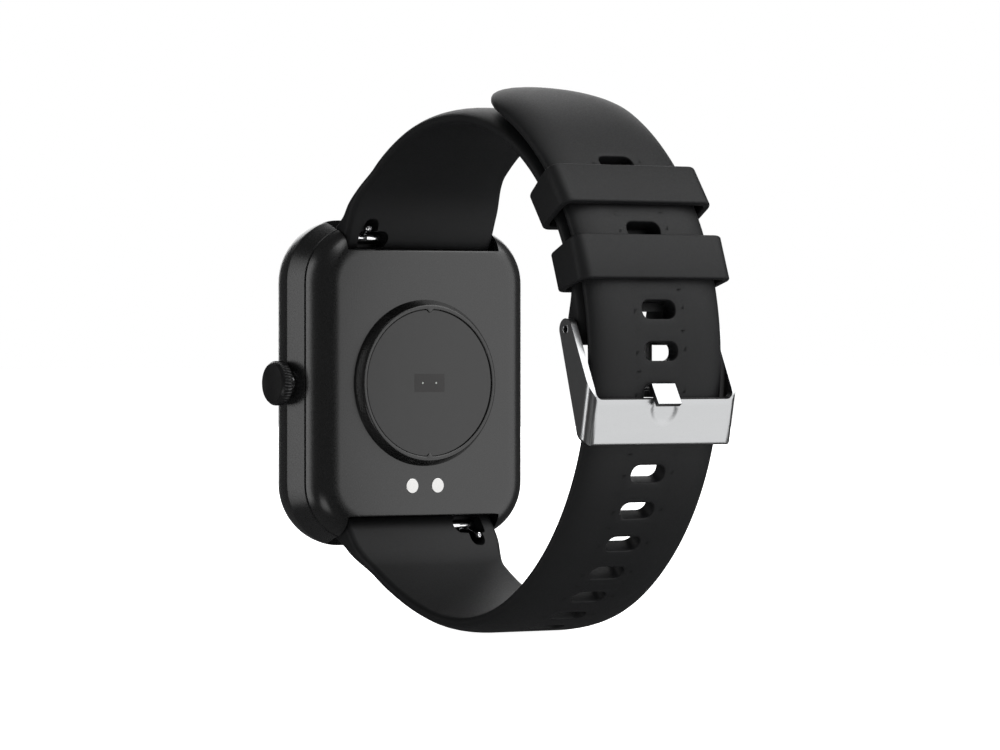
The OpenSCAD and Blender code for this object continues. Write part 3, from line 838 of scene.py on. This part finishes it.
def make_buckle_strap():
    """The upper strap half, whose end wraps round the buckle bar."""
    route = upper_route()
    bar_s, outer, inner, rings = head_rows(route, 1)
    loop_r, inner_ease, outer_ease = 1.85, 6.0, 1.5
    steps, end_rows, last_angle = 120, 9, 86
    pin_depth = UNDER_R - math.hypot(PIN_Y - WRAP_Y, PIN_Z - WRAP_Z)
    end = route.length

    def loop_half(s):
        return math.sqrt(max(loop_r ** 2 - max(s - end, 0.0) ** 2, 0.0))

    def loop_inner(s):
        blend = smooth_step((s - end + inner_ease) / inner_ease)
        return inner(s) + (pin_depth + loop_half(s) - inner(s)) * blend

    def loop_outer(s):
        blend = smooth_step((s - end + outer_ease) / outer_ease)
        return outer(s) + (pin_depth - loop_half(s) - outer(s)) * blend

    for i in range(steps + 1):
        s = bar_s + (end - bar_s) * i / steps
        half_w = strap_half_width(route.frame(s)[0])
        rings.append(strap_ring(route, s, half_w, loop_outer(s), loop_inner(s)))
    for i in range(1, end_rows + 1):
        s = end + loop_r * math.sin(math.radians(i * last_angle / end_rows))
        rings.append(strap_ring(route, s, STRAP_HALF, loop_outer(s), loop_inner(s)))
    strap = new_piece("upper_strap", *skin(rings), "silicone")
    slot_half, slot_y, slot_below, slot_above = 1.95, 2.6, 3.3, 2.1
    outline = rectangle(PIN_Y - slot_y, PIN_Z - slot_below, PIN_Y + slot_y, PIN_Z + slot_above)
    tongue_slot = extruded("notch", outline, -slot_half, slot_half, "silicone")
    pin_bore = extruded("pin_bore", circle(PIN_Y, PIN_Z, 0.52, 24), -12.0, 12.0, "silicone")
    carve(strap, bar_cutters(1) + [tongue_slot, pin_bore], smooth_deg=42)
    finish_piece(strap, "case", "buckle_strap", "silicone")


def make_keeper(name, node, body):
    """A loop round both strap layers, with crisp rounded edges."""
    low, high = box_mm(node)
    angle_mid = math.atan2((low.z + high.z) / 2 - WRAP_Z, (low.y + high.y) / 2 - WRAP_Y)
    gap, slack, wall, length, corner, fillet = 0.15, 0.5, 0.9, 5.25, 0.6, 0.22
    corner_steps, fillet_steps = 8, 4
    r_in = UNDER_R - STRAP_T / 2 - slack
    r_out = WRAP_R + STRAP_T / 2 + gap
    half_x = high.x - wall
    mid_r, half_r = (r_in + r_out) / 2, (r_out - r_in) / 2
    path = []
    for quarter, (sx, sr) in enumerate([(1, 1), (-1, 1), (-1, -1), (1, -1)]):
        for i in range(corner_steps + 1):
            a = math.pi / 2 * (quarter + i / corner_steps)
            path.append((sx * (half_x - corner) + corner * math.cos(a),
                         sr * (half_r - corner) + corner * math.sin(a), math.cos(a), math.sin(a)))
    edge = length / 2 - fillet
    section = []
    for out, along, a0 in ((wall - fillet, edge, 0), (fillet, edge, 90), (fillet, -edge, 180),
                           (wall - fillet, -edge, 270)):
        section += arc(out, along, fillet, a0, a0 + 90, fillet_steps)
    rings = []
    for x, r, nx, nr in path:
        ring = []
        for out, along in section:
            radius, a = mid_r + r + nr * out, angle_mid + along / WRAP_R
            ring.append((x + nx * out, WRAP_Y + radius * math.cos(a), WRAP_Z + radius * math.sin(a)))
        rings.append(ring)
    keeper = new_piece(name, *loft(rings, closed=True), "silicone", 40)
    finish_piece(keeper, body, node, "silicone")


# -------------------------------------------------------------------- buckle

PLATE_ANGLE = math.radians(-12)
PLATE_R = WRAP_R + STRAP_T / 2 + 0.06
PLATE_T = 1.0
PLATE_HALF = 2.8
EYE_R = 0.54


def plate_point(radial, along):
    """YZ of a point in the buckle plate's own frame."""
    return (WRAP_Y + radial * math.cos(PLATE_ANGLE) - along * math.sin(PLATE_ANGLE),
            WRAP_Z + radial * math.sin(PLATE_ANGLE) + along * math.cos(PLATE_ANGLE))


def to_plate(y, z):
    """(radial, along) in the buckle plate's own frame of a point in YZ."""
    dy, dz = y - WRAP_Y, z - WRAP_Z
    return (dy * math.cos(PLATE_ANGLE) + dz * math.sin(PLATE_ANGLE),
            dz * math.cos(PLATE_ANGLE) - dy * math.sin(PLATE_ANGLE))


def through_plate(name, outline, r0, r1):
    """A block with an (x, along) outline that reaches from radius r0 to r1."""
    rings = [[(x, *plate_point(r, t)) for x, t in outline] for r in (r0, r1)]
    return new_piece(name, *loft(rings), "buckle_steel")


def plate_dimple(front_r):
    """Cutter for the rounded recess that the tongue's end lies in."""
    half, centre_t, depth, slope, steps, past = 1.7, 1.7, 0.2, 1.0, 8, 2.0
    open_t = PLATE_HALF + 1
    levels = [(half + slope * (i / steps - 0.5), front_r - depth * (1 - smooth_step(i / steps)))
              for i in range(steps + 1)]
    levels.append((levels[-1][0], front_r + past))
    rings = []
    for reach, r in levels:
        outline = [(-reach, open_t)] + arc(0.0, centre_t, reach, 180, 360, 36) + [(reach, open_t)]
        rings.append([(x, *plate_point(r, t)) for x, t in outline])
    return new_piece("dimple", *loft(rings), "buckle_steel")


def channel_section(half_in, half_out, front_r, back_r):
    """The bent sheet seen along the arms, with a round outer and inner bend at each side."""
    bend_out, bend_in = 1.4, 0.5
    outer = [(half_out, back_r)]
    outer += arc(half_out - bend_out, front_r - bend_out, bend_out, 0, 90, 12)
    inner = [(half_in, back_r)]
    inner += arc(half_in - bend_in, PLATE_R - bend_in, bend_in, 0, 90, 6)
    other_side = [(-x, r) for x, r in reversed(outer)] + [(-x, r) for x, r in inner]
    return outer + other_side + list(reversed(inner))


def arm_outline(front_r):
    """The arm seen from the side, in the plate's frame: round eye, straight neck, tapered foot."""
    eye_r, knee_rise, knee_back = 1.3, 0.4, 1.2
    pin_r, pin_t = to_plate(PIN_Y, PIN_Z)
    knee_t = PLATE_HALF + knee_rise
    across, down = front_r - pin_r, knee_t - pin_t
    lean = math.degrees(math.atan2(down, across) - math.asin(eye_r / math.hypot(across, down)))
    eye = arc(pin_r, pin_t, eye_r, lean + 270, lean + 90, 20)
    along_r, along_t = math.cos(math.radians(lean)), math.sin(math.radians(lean))
    start = (front_r - knee_back * along_r, knee_t - knee_back * along_t)
    front = conic(start, (front_r, knee_t), (front_r, PLATE_HALF - 0.7), 1.0, 8)
    foot = conic((front_r, 0.5 - PLATE_HALF), (front_r, -PLATE_HALF), (front_r - 0.5, -PLATE_HALF), 1.0, 5)
    heel = conic((front_r - 0.6, -PLATE_HALF), (front_r - 1.7, 0.1 - PLATE_HALF),
                 (front_r - 2.4, 1.9 - PLATE_HALF), 1.0, 10)
    return eye + front + foot + heel


def make_buckle():
    """Bent frame: a channel trimmed to the side view of the plate and its two arms."""
    stand_out, arm_t, crook, corner = 0.15, 0.85, 0.9, 1.2
    back_r, past, low_t, high_t, gap_t = 20.0, 2.0, -4.0, 16.0, 20.0
    half_out = box_mm("buckle_frame")[1].x + stand_out
    half_in = half_out - arm_t
    front_r = PLATE_R + PLATE_T
    section = channel_section(half_in, half_out, front_r, back_r)
    rings = [[(x, *plate_point(r, t)) for x, r in section] for t in (low_t, high_t)]
    buckle = new_piece("buckle", *loft(rings), "buckle_steel")
    outline = arm_outline(front_r)
    rings = [[(x, *plate_point(r, t)) for r, t in outline] for x in (-half_out - 1, half_out + 1)]
    carve(buckle, [new_piece("trim", *loft(rings), "buckle_steel")], "INTERSECT")
    gap = [(half_in, gap_t)] + arc(half_in - crook, PLATE_HALF + crook, crook, 0, -90, 8)
    gap += [(-x, t) for x, t in reversed(gap)]
    cutters = [through_plate("gap", gap, back_r, front_r + past), plate_dimple(front_r),
               extruded("pin_hole", circle(PIN_Y, PIN_Z, EYE_R, 30), -20.0, 20.0, "buckle_steel")]
    for side in (1, -1):
        outline = [(half_out + 1, -PLATE_HALF - 1), (half_out + 1, corner - PLATE_HALF)]
        outline += arc(half_out - corner, corner - PLATE_HALF, corner, 0, -90, 10)
        outline += [(half_out - corner, -PLATE_HALF - 1)]
        outline = [(side * x, t) for x, t in outline]
        cutters.append(through_plate("corner", outline, back_r, front_r + past))
    carve(buckle, cutters)
    bevel(buckle, 0.1, 40)
    finish_piece(buckle, "buckle", "buckle_frame", "buckle_steel")


def make_buckle_bar():
    """Hollow bar across the strap end, with a rolled lip outside each arm."""
    low, high = box_mm("buckle_bar")
    r = (high.z - low.z) / 2
    wall, lip_r, lip_out, cup, rise, tuck = 0.1, 0.11, 0.2, 1.2, 0.01, 0.05
    end = [(0.0, high.x - cup), (r - wall, high.x - cup)]
    end += [(r + rise - p, high.x + lip_out - lip_r + h) for p, h in arc(0.0, 0.0, lip_r, 0, 180, 8)]
    end += [(r, high.x - tuck)]
    profile = [(p, -h) for p, h in end] + list(reversed(end))
    bar = revolved("buckle_pin", profile, lambda a, b, h: (h, PIN_Y + a, PIN_Z + b), "buckle_steel", 48)
    finish_piece(bar, "case", "buckle_bar", "buckle_steel")


def make_tongue():
    """Flat tongue from the bar, out through a strap hole and over the plate."""
    half_x = box_mm("buckle_tongue")[1].x
    half_t, knuckle_r, turn_r, bend = 0.4, 1.05, 1.0, 0.3
    leg_y, leg_z = PIN_Y - 0.35, -0.95
    neck_z = PIN_Z - 1.4
    tip_y = PIN_Y + 4.77
    turn_y, turn_z = leg_y + turn_r - half_t, leg_z + turn_r - half_t
    outline = arc(PIN_Y, PIN_Z, knuckle_r, -25, 200, 24)
    outline += [(leg_y - half_t, neck_z)]
    outline += arc(turn_y, turn_z, turn_r, 180, 270, 8)
    outline += [(tip_y + 0.25, leg_z - half_t), (tip_y + 0.89, -2.44), (tip_y + 1.45, -2.1), (tip_y, 0.3),
                (tip_y - 0.5, 0.0), (tip_y - 0.45, leg_z + half_t)]
    outline += [(leg_y + half_t + bend, leg_z + half_t), (leg_y + half_t, leg_z + half_t + bend),
                (leg_y + half_t, neck_z)]
    tongue = extruded("tongue", outline, -half_x, half_x, "buckle_steel")
    carve(tongue, [extruded("eye", circle(PIN_Y, PIN_Z, EYE_R, 30), -5.0, 5.0, "buckle_steel")])
    bevel(tongue, 0.07, 30)
    finish_piece(tongue, "tongue", "buckle_tongue", "buckle_steel")


# --------------------------------------------------------------- spring bars


def make_bar_tube(name, node, side):
    """Spring-bar tube with rounded ends and a narrow slot for the lever."""
    low, high = box_mm(node)
    r = (high.y - low.y) / 2
    bore_r, edge = 0.46, 0.12
    slot_low, slot_high, slot_x0, slot_x1 = BAR_Z - 0.24, BAR_Z + 0.5, 6.95, 8.5
    profile = [(bore_r, low.x), (r - edge, low.x)] + arc(r - edge, low.x + edge, edge, -60, 0, 2)
    profile += [(p, -h) for p, h in reversed(profile)]
    tube = revolved(name, profile, lambda a, b, h: (side * h, BAR_Y + a, side * (BAR_Z + b)), "bar_steel", 64)
    slot = rectangle(BAR_Y, side * slot_low, BAR_Y + 2, side * slot_high)
    carve(tube, [extruded("tube_slot", slot, side * slot_x0, side * slot_x1, "bar_steel")])
    finish_piece(tube, "case", node, "bar_steel")


def make_release_pin(name, node, body, side):
    """Sliding tip with a thin lever that ends in a ball with a dished face."""
    low, high = box_mm(node)
    ball_r, dish_r, dish_rim, dish_depth = 0.45, 0.24, 0.12, 0.3
    lever_r, lever_x, lever_rise = 0.2, 8.2, 1.1
    foot = Vector((lever_x, BAR_Y, BAR_Z))
    ball = Vector((lever_x, high.y - ball_r, BAR_Z + lever_rise))
    reach = max(abs(low.x), abs(high.x))
    bm = bmesh.new()
    bmesh.ops.create_uvsphere(bm, u_segments=48, v_segments=32, radius=ball_r)
    bmesh.ops.rotate(bm, verts=bm.verts, cent=(0, 0, 0), matrix=Matrix.Rotation(math.radians(-90), 3, "X"))
    for v in bm.verts:
        rim = math.hypot(v.co.x, v.co.z)
        if v.co.y > 0 and rim < dish_r:
            v.co.y -= dish_depth * smooth_step((dish_r - rim) / dish_rim)
    bmesh.ops.translate(bm, verts=bm.verts, vec=ball)
    axis = (ball - foot).normalized()
    across = axis.cross(Vector((1, 0, 0))).normalized()
    other = axis.cross(across)
    rod_rings = []
    for share, r in ((-0.1, lever_r), (0.55, lever_r), (0.8, lever_r * 0.9), (0.95, lever_r)):
        centre = foot + (ball - foot) * share
        rod_rings.append([centre + (across * math.cos(a) + other * math.sin(a)) * r for a in turns(24)])
    tip = [(5.0, 0.4), (5.03, 0.42), (reach - 0.12, 0.42), (reach - 0.03, 0.39), (reach, 0.3)]
    tip_rings = [[Vector((x, y, z)) for y, z in circle(BAR_Y, BAR_Z, r, 32)] for x, r in tip]
    for rings in (rod_rings, tip_rings):
        verts, faces = loft(rings)
        made = [bm.verts.new(v) for v in verts]
        for face in faces:
            bm.faces.new([made[k] for k in face])
    for v in bm.verts:
        v.co = Vector((side * v.co.x, v.co.y, side * v.co.z)) * MM
    bmesh.ops.recalc_face_normals(bm, faces=bm.faces)
    mesh = bpy.data.meshes.new(name)
    bm.to_mesh(mesh)
    bm.free()
    finish_piece(add_object(name, mesh, "bar_steel", 40), body, node, "bar_steel")


# --------------------------------------------------------------------- stage


def make_floor():
    """A flat pale sheet just under the watch, which glows enough to read as white."""
    floor_z = CAD_LOW.z - 0.0002
    half, pale, glow = 6.0, 0.9, 0.98
    corners = [(x, y, floor_z) for x, y in rectangle(-half, -half, half, half)]
    mesh = bpy.data.meshes.new("floor")
    mesh.from_pydata(corners, [], [(0, 1, 2, 3)])
    floor = bpy.data.objects.new("floor", mesh)
    bpy.context.scene.collection.objects.link(floor)
    mat = bpy.data.materials.new("floor_white")
    mat.use_nodes = True
    shader = mat.node_tree.nodes["Principled BSDF"]
    set_inputs(shader, {"Base Color": (pale, pale, pale, 1), "Roughness": 0.9, "Specular IOR Level": 0.0,
                        "Emission Color": (1, 1, 1, 1), "Emission Strength": glow})
    mesh.materials.append(mat)
    floor.visible_glossy = False


def make_world():
    """White where the camera looks past the watch, and a dim grey for every other ray."""
    dim = 0.08
    world = bpy.data.worlds.new("studio")
    bpy.context.scene.world = world
    world.use_nodes = True
    nodes, links = world.node_tree.nodes, world.node_tree.links
    background = nodes["Background"]
    white = nodes.new("ShaderNodeBackground")
    for node, strength in ((background, dim), (white, 1.0)):
        set_inputs(node, {"Color": (1, 1, 1, 1), "Strength": strength})
    path = nodes.new("ShaderNodeLightPath")
    mix = nodes.new("ShaderNodeMixShader")
    links.new(path.outputs["Is Camera Ray"], mix.inputs[0])
    links.new(background.outputs[0], mix.inputs[1])
    links.new(white.outputs[0], mix.inputs[2])
    links.new(mix.outputs[0], nodes["World Output"].inputs[0])
    bpy.context.scene.view_settings.view_transform = "Standard"


def softbox(name, azimuth, elevation, distance, size, power):
    """An area light that faces the watch: angles in degrees (from +X towards +Y), metres and watts."""
    a, e = math.radians(azimuth), math.radians(elevation)
    direction = Vector((math.cos(e) * math.cos(a), math.cos(e) * math.sin(a), math.sin(e)))
    data = bpy.data.lights.new(name, "AREA")
    data.shape = "RECTANGLE"
    data.size, data.size_y = size
    data.energy = power
    light = bpy.data.objects.new(name, data)
    centre = (CAD_LOW + CAD_HIGH) / 2
    light.location = centre + direction * distance
    light.rotation_euler = (-direction).to_track_quat("-Z", "Y").to_euler()
    light.visible_camera = False
    bpy.context.scene.collection.objects.link(light)


def make_lights():
    """A strip at the crown side, large boxes behind, above and in front, and a low one for the steel."""
    softbox("side_box", -15, 3, 1.2, (0.34, 1.6), 5.6)
    softbox("back_box", 126, -2, 1.2, (1.3, 1.6), 11.8)
    softbox("top_box", 130, 52, 1.2, (1.4, 1.2), 17.0)
    softbox("front_box", -119, 22, 1.4, (1.1, 1.3), 11.0)
    softbox("floor_box", 40, -36, 1.2, (0.6, 0.4), 1.8)


CAMERA_AZIMUTH = 146.84
CAMERA_ELEVATION = 0.34
CAMERA_DISTANCE = 0.6135
CAMERA_LENS = 174.7
CAMERA_TARGET = Vector((-0.00794, 0.00399, 0.00100))


def make_camera():
    """A long lens from behind and to the crown side, level with the watch."""
    a, e = math.radians(CAMERA_AZIMUTH), math.radians(CAMERA_ELEVATION)
    back = Vector((math.cos(e) * math.sin(a), -math.cos(e) * math.cos(a), math.sin(e)))
    data = bpy.data.cameras.new("camera")
    data.lens = CAMERA_LENS
    data.sensor_width = 36.0
    data.clip_start, data.clip_end = 0.01, 50.0
    camera = bpy.data.objects.new("camera", data)
    camera.location = CAMERA_TARGET + back * CAMERA_DISTANCE
    camera.rotation_euler = back.to_track_quat("Z", "Y").to_euler()
    bpy.context.scene.collection.objects.link(camera)
    bpy.context.scene.camera = camera


make_case()
make_glass()
make_sensor()
make_contacts()
make_crown()
make_hole_strap()
make_buckle_strap()
make_keeper("keeper_by_buckle", "fixed_keeper", "case")
make_keeper("sliding_keeper", "free_keeper", "keeper")
make_buckle()
make_buckle_bar()
make_tongue()
make_bar_tube("upper_tube", "upper_bar_tube", 1)
make_bar_tube("lower_tube", "lower_bar_tube", -1)
make_release_pin("upper_release", "upper_release_pin", "upper_release", 1)
make_release_pin("lower_release", "lower_release_pin", "lower_release", -1)
make_floor()
make_world()
make_lights()
make_camera()
